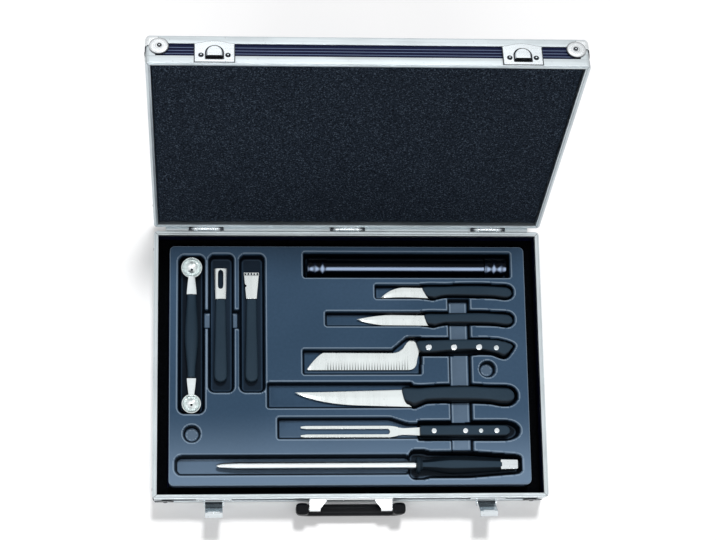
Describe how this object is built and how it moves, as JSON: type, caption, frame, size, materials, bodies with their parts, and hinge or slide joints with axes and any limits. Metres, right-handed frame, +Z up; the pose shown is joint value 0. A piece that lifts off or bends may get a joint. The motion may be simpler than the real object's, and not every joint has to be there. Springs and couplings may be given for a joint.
{
  "type": "knife case",
  "caption": "Hard carrying case for a cook's knives: hinged lid, front latches, folding handle and a formed tray that holds knives, fork, steel and small tools.",
  "frame": {"origin": "middle of the base's underside", "axes": "+X to the right seen from the latches, +Y towards the hinges, +Z up"},
  "size_m": [0.5036, 0.5135, 0.3873],
  "materials": {
    "satin_aluminium": "satin extruded aluminium",
    "ribbed_panel": "fine-grained black panel with raised ribs on the walls",
    "bright_sheet": "bright plated pressed steel",
    "foam": "close-celled black foam with a fine speckle",
    "tray_plastic": "semi-gloss thermoformed slate-blue sheet",
    "grip_plastic": "smooth black moulded plastic",
    "tool_handle_plastic": "fine-grained charcoal moulded plastic",
    "blade_steel": "ground and polished blade steel",
    "gloss_tube": "glossy black plastic"
  },
  "bodies": {
    "base": {"base_panel": "ribbed_panel", "base_wall_band": "ribbed_panel", "base_edge_profile": "satin_aluminium", "base_rim_profile": "satin_aluminium", "base_corner_front_left": "bright_sheet", "base_corner_front_right": "bright_sheet", "base_corner_back_left": "bright_sheet", "base_corner_back_right": "bright_sheet", "foam_frame": "foam", "tray": "tray_plastic", "hinge_rail": "satin_aluminium", "hinge_base_leaf_left": "satin_aluminium", "hinge_base_leaf_middle": "satin_aluminium", "hinge_base_leaf_right": "satin_aluminium", "hinge_pin_left": "bright_sheet", "hinge_pin_middle": "bright_sheet", "hinge_pin_right": "bright_sheet", "handle_bracket": "bright_sheet", "latch_plate_left": "bright_sheet", "latch_plate_right": "bright_sheet"},
    "grip": {"handle_grip": "grip_plastic"},
    "left_hasp": {"latch_hasp_left": "bright_sheet"},
    "right_hasp": {"latch_hasp_right": "bright_sheet"},
    "lid": {"lid_panel": "ribbed_panel", "lid_wall_band": "ribbed_panel", "lid_edge_profile": "satin_aluminium", "lid_rim_profile": "satin_aluminium", "lid_corner_front_left": "bright_sheet", "lid_corner_front_right": "bright_sheet", "lid_corner_back_left": "bright_sheet", "lid_corner_back_right": "bright_sheet", "lid_foam": "foam", "hinge_lid_leaf_left": "satin_aluminium", "hinge_lid_leaf_middle": "satin_aluminium", "hinge_lid_leaf_right": "satin_aluminium", "strike_plate_left": "bright_sheet", "strike_plate_right": "bright_sheet"},
    "melon_baller": {"melon_baller_handle": "tool_handle_plastic", "melon_baller_large_scoop": "blade_steel", "melon_baller_small_scoop": "blade_steel"},
    "peeler": {"peeler_handle": "tool_handle_plastic", "peeler_blade": "blade_steel"},
    "zester": {"zester_handle": "tool_handle_plastic", "zester_blade": "blade_steel"},
    "needle_tube": {"needle_tube_barrel": "gloss_tube", "needle_tube_cap_left": "gloss_tube", "needle_tube_cap_right": "gloss_tube"},
    "turning_knife": {"turning_knife_blade": "blade_steel", "turning_knife_handle": "tool_handle_plastic"},
    "paring_knife": {"paring_knife_blade": "blade_steel", "paring_knife_handle": "tool_handle_plastic"},
    "offset_knife": {"offset_knife_blade": "blade_steel", "offset_knife_handle": "tool_handle_plastic"},
    "boning_knife": {"boning_knife_blade": "blade_steel", "boning_knife_handle": "tool_handle_plastic"},
    "meat_fork": {"meat_fork_tines": "blade_steel", "meat_fork_handle": "tool_handle_plastic"},
    "sharpening_steel": {"sharpening_steel_rod": "blade_steel", "sharpening_steel_handle": "tool_handle_plastic"}
  },
  "joints": [
    {"name": "lid_hinge", "type": "hinge", "parent": "base", "child": "lid", "pos_m": [0, 0.1755, 0.05415], "axis": [-1, 0, 0], "range_deg": [-107.6, 0]},
    {"name": "grip_swing", "type": "hinge", "parent": "base", "child": "grip", "pos_m": [0, -0.1845, 0.037], "axis": [-1, 0, 0], "range_deg": [0, 90]},
    {"name": "left_hasp_pivot", "type": "hinge", "parent": "base", "child": "left_hasp", "pos_m": [-0.173, -0.177, 0.034], "axis": [1, 0, 0], "range_deg": [-34, 0]},
    {"name": "right_hasp_pivot", "type": "hinge", "parent": "base", "child": "right_hasp", "pos_m": [0.173, -0.177, 0.034], "axis": [1, 0, 0], "range_deg": [-34, 0]},
    {"name": "melon_baller_lift", "type": "slide", "parent": "base", "child": "melon_baller", "axis": [0, 0, 1], "range_m": [0, 0.06]},
    {"name": "peeler_lift", "type": "slide", "parent": "base", "child": "peeler", "axis": [0, 0, 1], "range_m": [0, 0.06]},
    {"name": "zester_lift", "type": "slide", "parent": "base", "child": "zester", "axis": [0, 0, 1], "range_m": [0, 0.06]},
    {"name": "needle_tube_lift", "type": "slide", "parent": "base", "child": "needle_tube", "axis": [0, 0, 1], "range_m": [0, 0.06]},
    {"name": "turning_knife_lift", "type": "slide", "parent": "base", "child": "turning_knife", "axis": [0, 0, 1], "range_m": [0, 0.06]},
    {"name": "paring_knife_lift", "type": "slide", "parent": "base", "child": "paring_knife", "axis": [0, 0, 1], "range_m": [0, 0.06]},
    {"name": "offset_knife_lift", "type": "slide", "parent": "base", "child": "offset_knife", "axis": [0, 0, 1], "range_m": [0, 0.06]},
    {"name": "boning_knife_lift", "type": "slide", "parent": "base", "child": "boning_knife", "axis": [0, 0, 1], "range_m": [0, 0.06]},
    {"name": "meat_fork_lift", "type": "slide", "parent": "base", "child": "meat_fork", "axis": [0, 0, 1], "range_m": [0, 0.06]},
    {"name": "sharpening_steel_lift", "type": "slide", "parent": "base", "child": "sharpening_steel", "axis": [0, 0, 1], "range_m": [0, 0.06]}
  ]
}
